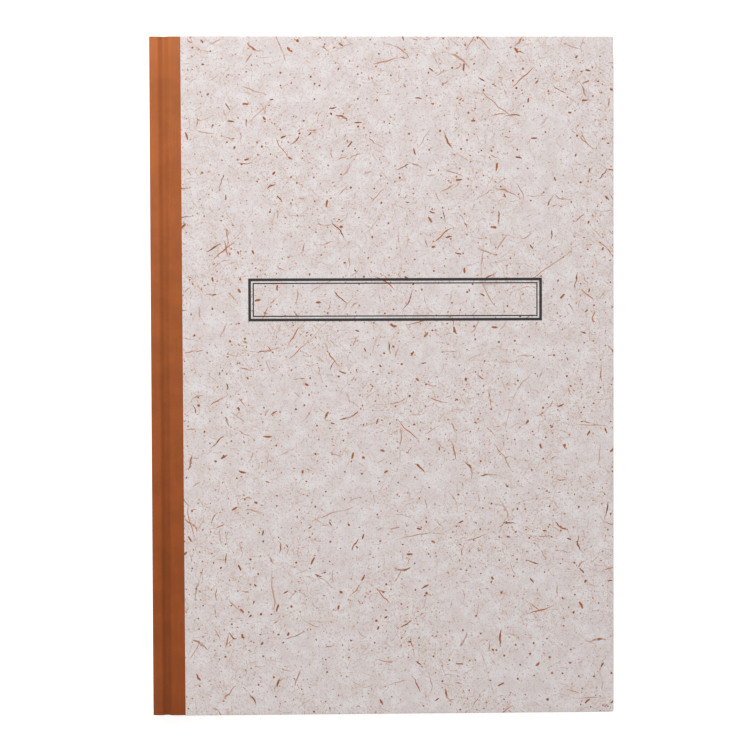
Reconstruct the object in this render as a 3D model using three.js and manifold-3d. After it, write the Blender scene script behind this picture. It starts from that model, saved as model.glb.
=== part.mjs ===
// A hard-bound record book, in millimetres. It lies on its back cover: +Z up, +X from the spine to the
// fore-edge, +Y along the spine towards the head. The origin is the middle of the face it rests on.
import * as THREE from 'three';
import * as BufferGeometryUtils from 'three/addons/utils/BufferGeometryUtils.js';
import Module from 'manifold-3d';

const wasm = await Module();
wasm.setup();

// Text block
const leafWidth = 196.4;
const leafHeight = 290;
const leafThickness = 0.08;
const leavesPerSection = 16;
const sectionCount = 6;
const turningSections = 2;      // sections that turn over with the front cover
const endpaperThickness = 0.12;

// Case
const boardThickness = 1.75;
const boardOverhang = 2.65;     // board past the leaves at head, tail and fore-edge
const coverPaperThickness = 0.15;
const stripThickness = 0.2;
const stripShowing = 13.6;      // brown strip that shows on each cover, from the spine's outer face
const stripUnderPaper = 4;
const turnIn = 15;              // cover material folded over to the boards' inner faces
const pastedownMargin = 3.5;    // turned-in edge left showing round the pastedown
const cornerRadius = 0.8;

// Spine and joints
const spineBoardThickness = 1.5;
const spineBoardInset = 0.55;   // spine board's edges below the covers' outer faces
const spineCornerRadius = 0.8;
const hollowBack = 0.1;         // free space between the case's spine and the gauze
const jointAxisFromSpine = 3.9;
const jointToBoard = 4.4;       // joint axis to the cover's spine edge

// Gauze and sewing
const gauzeThickness = 0.15;
const gauzeToTurnIn = 7.65;     // gauze's ends short of the strip's turned-in ends
const gauzeFlangeWidth = 18;
const threadThickness = 0.35;
const threadClearance = 0.05;
const stitchCount = 5;          // stitches along each section, over the length of the gauze
const foldPaper = 0.6;          // paper between the sewing channel and the outside of a fold
const foldRadius = 0.3;

// Clearances
const paperGap = 0.02;          // between sheets that lie on each other
const bendGap = 0.2;            // between a bending stretch of strip and the pieces beside it

const materials = {
  greyBoard: { color: 0x9a8f80, roughness: 0.95, metalness: 0 },
  brownStrip: { color: 0xa0592f, roughness: 0.55, metalness: 0 },
  fibrePaper: { color: 0xd8cecb, roughness: 0.6, metalness: 0 },
  whitePaper: { color: 0xf0eee6, roughness: 0.9, metalness: 0 },
  gauze: { color: 0xe8e4d8, roughness: 0.95, metalness: 0 },
  thread: { color: 0xf4f2ea, roughness: 0.8, metalness: 0 },
};

// Heights of the layers, from the rest face up. A cover's layers are counted inwards from its outer face.
const layer = {};
layer.paper = 0;
layer.strip = layer.paper + coverPaperThickness + paperGap;
layer.board = layer.strip + stripThickness + paperGap;
layer.turnIn = layer.board + boardThickness + paperGap;
layer.pastedown = layer.turnIn + stripThickness + paperGap;
const coverThickness = layer.pastedown + endpaperThickness + paperGap;
const sectionThickness = leavesPerSection * leafThickness;
const blockThickness = 2 * (endpaperThickness + paperGap) + sectionCount * (sectionThickness + paperGap) + paperGap;
const bookThickness = 2 * coverThickness + blockThickness;
const blockTop = bookThickness - coverThickness;

// Distances from the spine's outer face
const spineBoardFrom = stripThickness + paperGap;
const spineInnerFace = spineBoardFrom + spineBoardThickness + paperGap + stripThickness;
const gauzeFrom = spineInnerFace + hollowBack;
const threadFrom = gauzeFrom + gauzeThickness + threadClearance;
const foldFrom = threadFrom + threadThickness + threadClearance;
const boardFrom = jointAxisFromSpine + jointToBoard + stripThickness + paperGap;
const flangeFrom = boardFrom - paperGap - stripThickness;
const leavesFrom = boardFrom;    // where the turning leaves stop bending
const leavesTo = foldFrom + leafWidth;
const boardTo = leavesTo + boardOverhang;
const wrap = coverPaperThickness + paperGap + stripThickness + paperGap;
const coverTo = boardTo + wrap;

// Distances along the spine, to each side of the middle
const leafEnd = leafHeight / 2;
const boardEnd = leafEnd + boardOverhang;
const coverEnd = boardEnd + wrap;
const turnInEnd = boardEnd - turnIn;
const gauzeEnd = turnInEnd - gauzeToTurnIn;
const stripEnd = boardEnd + paperGap + stripThickness;

const spineX = -coverTo / 2;

function toSolid(geometry) {
  const bare = geometry.clone();
  bare.deleteAttribute('normal');
  bare.deleteAttribute('uv');
  const merged = BufferGeometryUtils.mergeVertices(bare, 1e-5);
  return new wasm.Manifold(new wasm.Mesh({
    numProp: 3,
    vertProperties: new Float32Array(merged.attributes.position.array),
    triVerts: new Uint32Array(merged.index.array),
  }));
}

function toGeometry(solid) {
  const mesh = solid.getMesh();
  const geometry = new THREE.BufferGeometry();
  geometry.setAttribute('position', new THREE.BufferAttribute(new Float32Array(mesh.vertProperties), 3));
  geometry.setIndex(new THREE.BufferAttribute(new Uint32Array(mesh.triVerts), 1));
  geometry.computeVertexNormals();
  return geometry;
}

// A box from one corner to the other. Its first coordinate is measured from the spine's outer face.
function box(from, to) {
  const size = to.map((end, axis) => end - from[axis]);
  const geometry = new THREE.BoxGeometry(...size);
  geometry.translate(
    spineX + from[0] + size[0] / 2,
    from[1] + size[1] / 2,
    from[2] + size[2] / 2,
  );
  return toSolid(geometry);
}

// A flat sheet, square at the spine side and with rounded corners at the fore-edge
function roundedSheet(fromU, toU, halfHeight, bottom, top, radius) {
  const outline = new THREE.Shape();
  outline.moveTo(fromU, -halfHeight);
  outline.lineTo(toU - radius, -halfHeight);
  outline.absarc(toU - radius, -halfHeight + radius, radius, -Math.PI / 2, 0, false);
  outline.lineTo(toU, halfHeight - radius);
  outline.absarc(toU - radius, halfHeight - radius, radius, 0, Math.PI / 2, false);
  outline.lineTo(fromU, halfHeight);
  outline.closePath();
  const geometry = new THREE.ExtrudeGeometry(outline, {
    depth: top - bottom,
    bevelEnabled: false,
    curveSegments: 4,
  });
  geometry.translate(spineX, 0, bottom);
  return toSolid(geometry);
}

// A section drawn in X and Z, run along the spine to the same distance each side of the middle
function alongSpine(outline, halfHeight, curveSegments = 4) {
  const geometry = new THREE.ExtrudeGeometry(outline, {
    depth: 2 * halfHeight,
    bevelEnabled: false,
    curveSegments,
  });
  geometry.rotateX(Math.PI / 2);
  geometry.translate(spineX, halfHeight, 0);
  return toSolid(geometry);
}

// What is made for the back cover turned over about the book's middle height, for the front cover
function turnedOver(solid) {
  return solid.rotate([180, 0, 0]).translate([0, 0, bookThickness]);
}

const sides = {
  back: (solid) => solid,
  front: turnedOver,
};

const book = new THREE.Group();

function add(name, solid, material) {
  const mesh = new THREE.Mesh(toGeometry(solid), new THREE.MeshStandardMaterial(material));
  mesh.name = name;
  book.add(mesh);
}

function coverBoard() {
  return roundedSheet(boardFrom, boardTo, boardEnd, layer.board, layer.board + boardThickness, cornerRadius);
}

// The brown strip's stretch on a cover: over the board's spine edge, and turned in at head and tail
function stripFlange() {
  const toU = stripShowing + stripUnderPaper;
  const outer = box([flangeFrom, -stripEnd, layer.strip], [toU, stripEnd, layer.turnIn + stripThickness]);
  const innerTop = layer.turnIn;
  const board = box(
    [flangeFrom + stripThickness, -boardEnd - paperGap, layer.strip + stripThickness],
    [toU + 1, boardEnd + paperGap, innerTop],
  );
  const inside = box(
    [flangeFrom - 1, -turnInEnd, innerTop - paperGap],
    [toU + 1, turnInEnd, coverThickness],
  );
  return outer.subtract(board).subtract(inside);
}

// The cover paper: over the strip's edge, round three edges of the board and turned in
function coverPaper() {
  const outerTop = layer.turnIn + coverPaperThickness;
  const outer = roundedSheet(stripShowing, coverTo, coverEnd, 0, outerTop, cornerRadius + wrap);
  const cavity = roundedSheet(
    stripShowing - 1,
    coverTo - coverPaperThickness,
    coverEnd - coverPaperThickness,
    coverPaperThickness,
    layer.turnIn,
    cornerRadius + wrap - coverPaperThickness,
  );
  const inside = roundedSheet(
    stripShowing - 1,
    boardTo - turnIn,
    turnInEnd,
    layer.turnIn - paperGap,
    coverThickness,
    cornerRadius,
  );
  const lap = box(
    [stripShowing - 1, -coverEnd - 1, layer.turnIn - paperGap],
    [stripShowing + stripUnderPaper + paperGap, coverEnd + 1, coverThickness],
  );
  return outer.subtract(cavity).subtract(inside).subtract(lap);
}

function pastedown() {
  return box(
    [boardFrom, -boardEnd + pastedownMargin, layer.pastedown],
    [boardTo - pastedownMargin, boardEnd - pastedownMargin, layer.pastedown + endpaperThickness],
  );
}

// The gauze glued to a board's inner face, between the turned-in ends of the strip
function gauzeFlange() {
  return box(
    [boardFrom, -gauzeEnd, layer.turnIn],
    [boardFrom + gauzeFlangeWidth, gauzeEnd, layer.turnIn + gauzeThickness],
  );
}

// A band of even thickness along a line of points, bent from the spine to the cover across the joint
function band(points, thickness, halfHeight) {
  const line = new THREE.CatmullRomCurve3(points.map(([u, z]) => new THREE.Vector3(u, z, 0)));
  const steps = 12;
  const below = [];
  const above = [];
  for (let step = 0; step <= steps; step += 1) {
    const at = line.getPoint(step / steps);
    const along = line.getTangent(step / steps);
    const aside = new THREE.Vector3(-along.y, along.x, 0).multiplyScalar(thickness / 2);
    below.push(new THREE.Vector2(at.x - aside.x, at.y - aside.y));
    above.push(new THREE.Vector2(at.x + aside.x, at.y + aside.y));
  }
  return alongSpine(new THREE.Shape([...below, ...above.reverse()]), halfHeight);
}

// The strip where it crosses a joint: from the spine ridge down into the groove and up to the board
function jointStrip() {
  const half = stripThickness / 2;
  const grooveFloor = layer.turnIn - bendGap - half;
  const from = spineInnerFace + paperGap + half;
  const to = flangeFrom - bendGap - half;
  const middle = (from + to) / 2;
  const spineEdge = spineBoardInset + half;
  const boardEdge = layer.strip + half;
  return band([
    [from, spineEdge],
    [(from * 2 + middle) / 3, (spineEdge + grooveFloor) / 2],
    [middle, grooveFloor],
    [(to * 2 + middle) / 3, (boardEdge + grooveFloor) / 2],
    [to, boardEdge],
  ], stripThickness, boardEnd);
}

// The gauze where it crosses a joint, from the sewn spine to the board
function gauzeJoint() {
  const low = layer.turnIn;
  return box(
    [gauzeFrom + gauzeThickness + paperGap, -gauzeEnd, low],
    [boardFrom - paperGap, gauzeEnd, low + gauzeThickness],
  );
}

// The endpaper where it crosses a joint and folds back round the edge of the text block
function endpaperFold() {
  const upper = layer.pastedown;
  const lower = coverThickness + paperGap;
  const crossing = box(
    [foldFrom, -leafEnd, upper],
    [boardFrom - paperGap, leafEnd, upper + endpaperThickness],
  );
  const back = box(
    [foldFrom, -leafEnd, upper],
    [foldFrom + endpaperThickness, leafEnd, lower + endpaperThickness],
  );
  const leaf = box(
    [foldFrom, -leafEnd, lower],
    [leavesFrom - paperGap, leafEnd, lower + endpaperThickness],
  );
  return crossing.add(back).add(leaf);
}

function flyleaf() {
  const low = coverThickness + paperGap;
  return box([leavesFrom, -leafEnd, low], [leavesTo, leafEnd, low + endpaperThickness]);
}

// Underside of a section, counted from the front cover down
function sectionBottom(index) {
  const fromTop = endpaperThickness + 2 * paperGap + (index + 1) * (sectionThickness + paperGap) - paperGap;
  return blockTop - fromTop;
}

const stitchEnds = [];
for (let stitch = 0; stitch <= stitchCount; stitch += 1) {
  stitchEnds.push((2 * stitch / stitchCount - 1) * gauzeEnd);
}

// The folded edge of a section, with the channel and the needle holes that its thread lies in
function foldedEdge(index, toU) {
  const low = sectionBottom(index);
  const high = low + sectionThickness;
  const middle = (low + high) / 2;
  const outline = new THREE.Shape();
  outline.moveTo(toU, low);
  outline.lineTo(toU, high);
  outline.lineTo(foldFrom + foldRadius, high);
  outline.absarc(foldFrom + foldRadius, high - foldRadius, foldRadius, Math.PI / 2, Math.PI, false);
  outline.lineTo(foldFrom, low + foldRadius);
  outline.absarc(foldFrom + foldRadius, low + foldRadius, foldRadius, Math.PI, Math.PI * 1.5, false);
  outline.closePath();
  let solid = alongSpine(outline, leafEnd);
  const half = threadThickness / 2 + threadClearance;
  const channelFrom = foldFrom + foldPaper;
  const channelTo = channelFrom + 2 * half;
  solid = solid.subtract(box([channelFrom, -leafEnd - 1, middle - half], [channelTo, leafEnd + 1, middle + half]));
  for (const y of stitchEnds) {
    solid = solid.subtract(box([foldFrom - 1, y - half, middle - half], [channelTo, y + half, middle + half]));
  }
  return solid;
}

// One thread: through every section in turn, in and out at the needle holes, and on to the next at its end
function sewingThread() {
  const half = threadThickness / 2;
  const inner = foldFrom + foldPaper + threadClearance;
  let thread = null;
  const join = (solid) => {
    thread = thread ? thread.add(solid) : solid;
  };
  for (let index = 0; index < sectionCount; index += 1) {
    const middle = sectionBottom(index) + sectionThickness / 2;
    stitchEnds.forEach((y, place) => {
      join(box([threadFrom, y - half, middle - half], [inner + threadThickness, y + half, middle + half]));
      const next = stitchEnds[place + 1];
      if (next !== undefined) {
        const from = place % 2 === 0 ? inner : threadFrom;
        join(box([from, y - half, middle - half], [from + threadThickness, next + half, middle + half]));
      }
    });
    if (index + 1 < sectionCount) {
      const linkY = index % 2 === 0 ? stitchEnds[0] : stitchEnds[stitchEnds.length - 1];
      const nextMiddle = sectionBottom(index + 1) + sectionThickness / 2;
      join(box(
        [threadFrom, linkY - half, nextMiddle - half],
        [threadFrom + threadThickness, linkY + half, middle + half],
      ));
    }
  }
  return thread;
}

function turningLeaves(index) {
  const low = sectionBottom(index);
  return box([leavesFrom, -leafEnd, low], [leavesTo, leafEnd, low + sectionThickness]);
}

// An upright plate's outline in X and Z, with its two outer corners rounded
function spineOutline(fromU, toU, inset, radius) {
  const low = inset;
  const high = bookThickness - inset;
  const outline = new THREE.Shape();
  outline.moveTo(toU, low);
  outline.lineTo(toU, high);
  outline.lineTo(fromU + radius, high);
  outline.absarc(fromU + radius, high - radius, radius, Math.PI / 2, Math.PI, false);
  outline.lineTo(fromU, low + radius);
  outline.absarc(fromU + radius, low + radius, radius, Math.PI, Math.PI * 1.5, false);
  outline.closePath();
  return outline;
}

function spineBoard() {
  const outline = spineOutline(
    spineBoardFrom,
    spineBoardFrom + spineBoardThickness,
    spineBoardInset + stripThickness + paperGap,
    spineCornerRadius - stripThickness - paperGap,
  );
  return alongSpine(outline, boardEnd);
}

// The strip round the spine board, turned in at head and tail and open towards the text block
function spineStrip() {
  const outer = alongSpine(spineOutline(0, spineInnerFace, spineBoardInset, spineCornerRadius), stripEnd);
  const cavity = alongSpine(
    spineOutline(
      stripThickness,
      spineInnerFace - stripThickness,
      spineBoardInset + stripThickness,
      spineCornerRadius - stripThickness,
    ),
    boardEnd + paperGap,
  );
  const inside = box(
    [spineInnerFace - stripThickness - paperGap, -turnInEnd, -1],
    [spineInnerFace + 1, turnInEnd, bookThickness + 1],
  );
  return outer.subtract(cavity).subtract(inside);
}

function spineGauze() {
  return box(
    [gauzeFrom, -gauzeEnd, layer.turnIn],
    [gauzeFrom + gauzeThickness, gauzeEnd, bookThickness - layer.turnIn],
  );
}

for (const [side, place] of Object.entries(sides)) {
  add(`${side}_board`, place(coverBoard()), materials.greyBoard);
  add(`${side}_strip_flange`, place(stripFlange()), materials.brownStrip);
  add(`${side}_cover_paper`, place(coverPaper()), materials.fibrePaper);
  add(`${side}_gauze_flange`, place(gauzeFlange()), materials.gauze);
  add(`${side}_pastedown`, place(pastedown()), materials.whitePaper);
  add(`${side}_joint_strip`, place(jointStrip()), materials.brownStrip);
  add(`${side}_gauze_joint`, place(gauzeJoint()), materials.gauze);
  add(`${side}_endpaper_fold`, place(endpaperFold()), materials.whitePaper);
  add(`${side}_flyleaf`, place(flyleaf()), materials.whitePaper);
}

add('spine_board', spineBoard(), materials.greyBoard);
add('spine_strip', spineStrip(), materials.brownStrip);
add('spine_gauze', spineGauze(), materials.gauze);
add('sewing_thread', sewingThread(), materials.thread);

for (let index = 0; index < sectionCount; index += 1) {
  if (index < turningSections) {
    add(`section_${index + 1}_fold`, foldedEdge(index, leavesFrom - paperGap), materials.whitePaper);
    add(`section_${index + 1}_leaves`, turningLeaves(index), materials.whitePaper);
  } else {
    add(`section_${index + 1}`, foldedEdge(index, leavesTo), materials.whitePaper);
  }
}

export default book;
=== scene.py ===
import math
import bmesh
import bpy
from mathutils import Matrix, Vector


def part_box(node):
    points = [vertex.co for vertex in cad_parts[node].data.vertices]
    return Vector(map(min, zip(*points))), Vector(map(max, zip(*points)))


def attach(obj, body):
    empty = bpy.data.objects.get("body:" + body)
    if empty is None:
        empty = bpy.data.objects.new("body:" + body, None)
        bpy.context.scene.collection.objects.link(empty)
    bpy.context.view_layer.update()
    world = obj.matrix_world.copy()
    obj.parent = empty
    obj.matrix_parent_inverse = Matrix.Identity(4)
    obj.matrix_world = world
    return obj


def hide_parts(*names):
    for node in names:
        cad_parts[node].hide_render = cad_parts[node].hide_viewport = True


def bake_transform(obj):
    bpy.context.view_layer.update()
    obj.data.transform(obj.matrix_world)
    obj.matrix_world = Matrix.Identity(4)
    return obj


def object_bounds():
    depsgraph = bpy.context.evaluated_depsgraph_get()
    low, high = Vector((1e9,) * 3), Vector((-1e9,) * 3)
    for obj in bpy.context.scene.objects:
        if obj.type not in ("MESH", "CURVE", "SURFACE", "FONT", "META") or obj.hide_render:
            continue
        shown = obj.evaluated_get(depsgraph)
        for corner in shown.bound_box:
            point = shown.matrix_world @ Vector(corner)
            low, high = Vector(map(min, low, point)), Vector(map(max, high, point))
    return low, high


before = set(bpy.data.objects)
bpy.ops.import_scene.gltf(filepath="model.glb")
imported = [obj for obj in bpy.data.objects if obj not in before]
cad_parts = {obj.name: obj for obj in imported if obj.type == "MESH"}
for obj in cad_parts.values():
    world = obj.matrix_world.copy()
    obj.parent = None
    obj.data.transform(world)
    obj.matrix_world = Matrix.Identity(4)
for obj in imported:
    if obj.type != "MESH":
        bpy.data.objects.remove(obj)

mm = 0.001
cadLow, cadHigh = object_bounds()
print("frame loaded:", len(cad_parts), "nodes")

# Places read from the frame
spineX = cadLow.x
bookTop = cadHigh.z
flangeLow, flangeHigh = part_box("front_strip_flange")
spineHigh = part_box("spine_strip")[1]
pasteLow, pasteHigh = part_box("front_pastedown")
leafLow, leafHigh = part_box("section_3")
flyLow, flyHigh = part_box("front_flyleaf")
gauzeLow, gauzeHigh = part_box("front_gauze_flange")
gauzeSpineLow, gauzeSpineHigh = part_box("spine_gauze")


# Small helpers for meshes

def newObject(name, mesh):
    piece = bpy.data.objects.new(name, mesh)
    bpy.context.scene.collection.objects.link(piece)
    return piece


def meshFrom(name, verts, faces):
    mesh = bpy.data.meshes.new(name)
    mesh.from_pydata([tuple(v) for v in verts], [], faces)
    mesh.validate()
    return newObject(name, mesh)


def outwards(piece):
    bm = bmesh.new()
    bm.from_mesh(piece.data)
    bmesh.ops.recalc_face_normals(bm, faces=bm.faces)
    bm.to_mesh(piece.data)
    bm.free()


def smoothed(piece, angle=35):
    piece.data.shade_smooth()
    piece.data.set_sharp_from_angle(angle=math.radians(angle))


def settled(piece):
    bpy.context.view_layer.update()
    graph = bpy.context.evaluated_depsgraph_get()
    mesh = bpy.data.meshes.new_from_object(piece.evaluated_get(graph))
    piece.modifiers.clear()
    piece.data = mesh
    return piece


def finished(piece, material):
    piece.data.materials.clear()
    piece.data.materials.append(material)


# Bakes the piece's transform into its mesh
def bendOver(piece):
    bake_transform(piece)


def eased(t):
    t = min(max(t, 0), 1)
    return t * t * (3 - 2 * t)


# Even steps from the start up to the end, which is left out
def evenly(start, end, count):
    return [start + (end - start) * i / count for i in range(count)]


# Faces of a tube whose rings have the same number of points, closed at both ends
def tubeFaces(rings, count):
    faces = [tuple(range(count)), tuple(range((rings - 1) * count, rings * count))]
    for start in range(0, (rings - 1) * count, count):
        for i in range(count):
            j = (i + 1) % count
            faces.append((start + i, start + j, start + count + j, start + count + i))
    return faces


# Small helpers for node trees

def feed(tree, socket, value):
    if isinstance(value, bpy.types.NodeSocket):
        tree.links.new(value, socket)
    else:
        socket.default_value = value


# A new node with these settings, its inputs fed by label or by place
def added(tree, kind, inputs, **settings):
    node = tree.nodes.new(kind)
    for label, value in settings.items():
        setattr(node, label, value)
    for label, value in inputs.items():
        feed(tree, node.inputs[label], value)
    return node


def maths(tree, operation, a, b=0.0, c=0.0, clamp=False):
    inputs = {0: a, 1: b, 2: c}
    return added(tree, "ShaderNodeMath", inputs, operation=operation, use_clamp=clamp).outputs[0]


def times(tree, a, b, clamp=False):
    return maths(tree, "MULTIPLY", a, b, clamp=clamp)


def divided(tree, a, b, clamp=False):
    return maths(tree, "DIVIDE", a, b, clamp=clamp)


def plus(tree, a, b):
    return maths(tree, "ADD", a, b)


def minus(tree, a, b):
    return maths(tree, "SUBTRACT", a, b)


def vectorMaths(tree, operation, a, b=(0, 0, 0), scale=1.0):
    inputs = {0: a, "Scale": scale} if operation == "SCALE" else {0: a, 1: b}
    return added(tree, "ShaderNodeVectorMath", inputs, operation=operation).outputs["Vector"]


def between(tree, value, low, high, toLow=0.0, toHigh=1.0):
    inputs = {"Value": value, "From Min": low, "From Max": high, "To Min": toLow, "To Max": toHigh}
    return added(tree, "ShaderNodeMapRange", inputs, interpolation_type="SMOOTHSTEP").outputs["Result"]


def noise(tree, vector, scale, detail=2.0, roughness=0.5, distortion=0.0):
    return added(tree, "ShaderNodeTexNoise", {
        "Vector": vector, "Scale": scale, "Detail": detail, "Roughness": roughness,
        "Distortion": distortion,
    })


def parted(tree, vector):
    return added(tree, "ShaderNodeSeparateXYZ", {0: vector}).outputs


def joined(tree, x, y, z=0.0):
    return added(tree, "ShaderNodeCombineXYZ", {0: x, 1: y, 2: z}).outputs[0]


def mixed(tree, factor, a, b, blend="MIX"):
    inputs = {0: factor, 6: a, 7: b}
    return added(tree, "ShaderNodeMix", inputs, data_type="RGBA", blend_type=blend).outputs[2]


# A shader group that takes a vector and these values, and gives numbers
def newGroup(name, values, results):
    tree = bpy.data.node_groups.new(name, "ShaderNodeTree")
    face = tree.interface
    face.new_socket(name="Vector", in_out="INPUT", socket_type="NodeSocketVector")
    for label, value in values.items():
        socket = face.new_socket(name=label, in_out="INPUT", socket_type="NodeSocketFloat")
        socket.default_value = value
    for label in results:
        face.new_socket(name=label, in_out="OUTPUT", socket_type="NodeSocketFloat")
    return tree, tree.nodes.new("NodeGroupInput").outputs, tree.nodes.new("NodeGroupOutput").inputs


def placed(tree, group, **values):
    return added(tree, "ShaderNodeGroup", values, node_tree=group).outputs


# The linear share of light for one screen level from 0 to 255
def linearLevel(level):
    share = level / 255
    if level <= 10:
        return share / 12.92
    return ((share + 0.055) / 1.055) ** 2.4


def linear(red, green, blue):
    return (linearLevel(red), linearLevel(green), linearLevel(blue), 1)


# The shine is the shader's roughness and specular level
def newMaterial(name, shine):
    material = bpy.data.materials.new(name)
    material.use_nodes = True
    tree = material.node_tree
    shader = tree.nodes["Principled BSDF"]
    shader.inputs["Roughness"].default_value, shader.inputs["Specular IOR Level"].default_value = shine
    return material, tree, shader


def objectPlace(tree):
    return tree.nodes.new("ShaderNodeTexCoord").outputs["Object"]


# The bump is its distance and strength
def painted(tree, shader, colour, height, bump):
    distance, strength = bump
    tree.links.new(colour, shader.inputs["Base Color"])
    node = added(tree, "ShaderNodeBump", {"Height": height, "Distance": distance, "Strength": strength})
    tree.links.new(node.outputs["Normal"], shader.inputs["Normal"])


markShape = {
    # how far one seed moves the pattern, and how far from a mark's middle its lot is drawn
    "seedShift": (13.7, 7.3),
    "lotShift": (3.1, 1.7, 0.0),
    "scatter": 0.85,
    # half the length and the width each vary over a span above the least, as shares of the largest
    "lengthSpan": 0.35,
    "leastLength": 0.15,
    "widthSpan": 0.7,
    "leastWidth": 0.6,
    # a mark is solid up to the first share of its width, and gone at the second
    "solidTo": 0.55,
    "fadesTo": 1.35,
    "faintAt": (0.42, 0.56),
}


# Short curved marks scattered one to a cell, as fibres and specks lie in a sheet of paper
def buildFibreMarks():
    shape = markShape
    tree, given, out = newGroup("fibreMarks", {
        "Cell": 10 * mm,
        "Length": 3 * mm,
        "Width": 0.3 * mm,
        "Curl": 100.0,
        "Wobble": 0.5 * mm,
        "Taper": 0.0,
        "Breaks": 0.0,
        "Density": 0.5,
        "Seed": 0.0,
    }, ["Mask", "Tone"])
    shift = joined(tree, *(times(tree, given["Seed"], away) for away in shape["seedShift"]))
    shifted = vectorMaths(tree, "ADD", given["Vector"], shift)
    bend = noise(tree, shifted, divided(tree, 2.0, given["Length"]))
    wobble = vectorMaths(tree, "SUBTRACT", bend.outputs["Color"], (0.5, 0.5, 0.5))
    wobbled = vectorMaths(tree, "SCALE", wobble, scale=given["Wobble"])
    place = vectorMaths(tree, "ADD", given["Vector"], wobbled)
    cells = vectorMaths(tree, "SCALE", place, scale=divided(tree, 1.0, given["Cell"]))
    cells = vectorMaths(tree, "ADD", cells, shift)
    inputs = {"Scale": 1.0, "Randomness": shape["scatter"], "Vector": cells}
    voronoi = added(tree, "ShaderNodeTexVoronoi", inputs, voronoi_dimensions="2D", feature="F1")
    centre = voronoi.outputs["Position"]
    offset = vectorMaths(tree, "SUBTRACT", cells, centre)
    offset = parted(tree, vectorMaths(tree, "SCALE", offset, scale=given["Cell"]))
    chance = parted(tree, voronoi.outputs["Color"])
    turn = times(tree, chance[0], math.tau)
    cosine, sine = maths(tree, "COSINE", turn), maths(tree, "SINE", turn)
    along = maths(tree, "MULTIPLY_ADD", offset[0], cosine, times(tree, offset[1], sine))
    across = times(tree, offset[1], cosine)
    across = minus(tree, across, times(tree, offset[0], sine))
    curl = times(tree, minus(tree, chance[1], 0.5), given["Curl"])
    curled = times(tree, curl, times(tree, along, along))
    across = minus(tree, across, curled)
    half = maths(tree, "MULTIPLY_ADD", chance[2], shape["lengthSpan"], shape["leastLength"])
    half = times(tree, given["Length"], half)
    over = maths(tree, "MAXIMUM", minus(tree, maths(tree, "ABSOLUTE", along), half), 0.0)
    acrossSquared = times(tree, across, across)
    away = maths(tree, "SQRT", maths(tree, "MULTIPLY_ADD", over, over, acrossSquared))
    drawn = vectorMaths(tree, "ADD", centre, shape["lotShift"])
    lot = added(tree, "ShaderNodeTexWhiteNoise", {"Vector": drawn}, noise_dimensions="2D")
    present = maths(tree, "LESS_THAN", lot.outputs["Value"], given["Density"])
    tone = parted(tree, lot.outputs["Color"])[1]
    width = maths(tree, "MULTIPLY_ADD", tone, shape["widthSpan"], shape["leastWidth"])
    width = times(tree, given["Width"], width)
    # thinner towards the ends, and fainter here and there along the mark
    reached = divided(tree, along, half)
    thinned = times(tree, given["Taper"], times(tree, reached, reached), clamp=True)
    width = times(tree, width, minus(tree, 1.0, thinned))
    solidTo, fadesTo = (times(tree, width, shape[key]) for key in ("solidTo", "fadesTo"))
    edge = between(tree, away, solidTo, fadesTo, 1.0, 0.0)
    faint = between(tree, parted(tree, bend.outputs["Color"])[2], *shape["faintAt"], 1.0, 0.0)
    solid = minus(tree, 1.0, times(tree, faint, given["Breaks"]))
    edge = times(tree, edge, solid)
    feed(tree, out["Mask"], times(tree, edge, present))
    feed(tree, out["Tone"], tone)
    return tree


hairShape = {
    "firstSeed": 0.4,
    "seedStep": 1.9,
    "seedSlant": 0.7,
    "wave": {"detail": 1.5, "roughness": 0.45, "distortion": 0.6},
    # the patches that break the lines up: their shift, their scale and their soft edge
    "patchShift": (0.31, 0.17, 0.0),
    "patchScale": 1.7,
    "patchSoft": 0.06,
}


# Hair-thin curling lines, broken up by patches
def buildHairLines():
    shape = hairShape
    values = {"Scale": 100.0, "Width": 0.02, "Breaks": 0.5, "Seed": 0.0}
    tree, given, out = newGroup("hairLines", values, ["Mask"])
    shift = joined(tree, given["Seed"], times(tree, given["Seed"], shape["seedSlant"]))
    place = vectorMaths(tree, "ADD", given["Vector"], shift)
    wave = noise(tree, place, given["Scale"], **shape["wave"])
    off = maths(tree, "ABSOLUTE", minus(tree, wave.outputs[0], 0.5))
    line = between(tree, off, 0.0, given["Width"], 1.0, 0.0)
    elsewhere = vectorMaths(tree, "ADD", place, shape["patchShift"])
    patch = noise(tree, elsewhere, times(tree, given["Scale"], shape["patchScale"]))
    keptFrom = plus(tree, given["Breaks"], shape["patchSoft"])
    kept = between(tree, patch.outputs[0], given["Breaks"], keptFrom)
    feed(tree, out["Mask"], times(tree, line, kept))
    return tree


# Soft unevenness of a surface: wide patches and fine grain
def buildMottle():
    values = {"Patch": 10 * mm, "Grain": 0.5 * mm}
    tree, given, out = newGroup("mottle", values, ["Patches", "Grains"])
    wideScale = divided(tree, 1.0, given["Patch"])
    fineScale = divided(tree, 1.0, given["Grain"])
    wide = noise(tree, given["Vector"], wideScale, detail=3.0, roughness=0.55)
    fine = noise(tree, given["Vector"], fineScale, detail=2.0, roughness=0.6)
    feed(tree, out["Patches"], wide.outputs[0])
    feed(tree, out["Grains"], fine.outputs[0])
    return tree


fibreMarks = buildFibreMarks()
hairLines = buildHairLines()
mottle = buildMottle()

# A short crease near the head and fore-edge of the front cover
crease = {
    "place": (89.5 * mm, 124.5 * mm),
    "turn": math.radians(-35),
    "depth": 0.225 * mm,
    "width": 1.35 * mm,
    "length": 7 * mm,
    "reach": 11 * mm,
    "grid": 0.45 * mm,
    # the painted shade and highlight lie this far to either side, and are full up to this far along
    "tintOff": 1.7 * mm,
    "tintReach": 2.38 * mm,
    "fullTo": 2.1 * mm,
    # the painted shade in the crease's hollow and the painted highlight beside its crest, and how strong
    # each is
    "hollow": (186, 187, 195),
    "crest": (240, 237, 236),
    "hollowShare": 0.22,
    "crestShare": 0.4,
}
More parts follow.
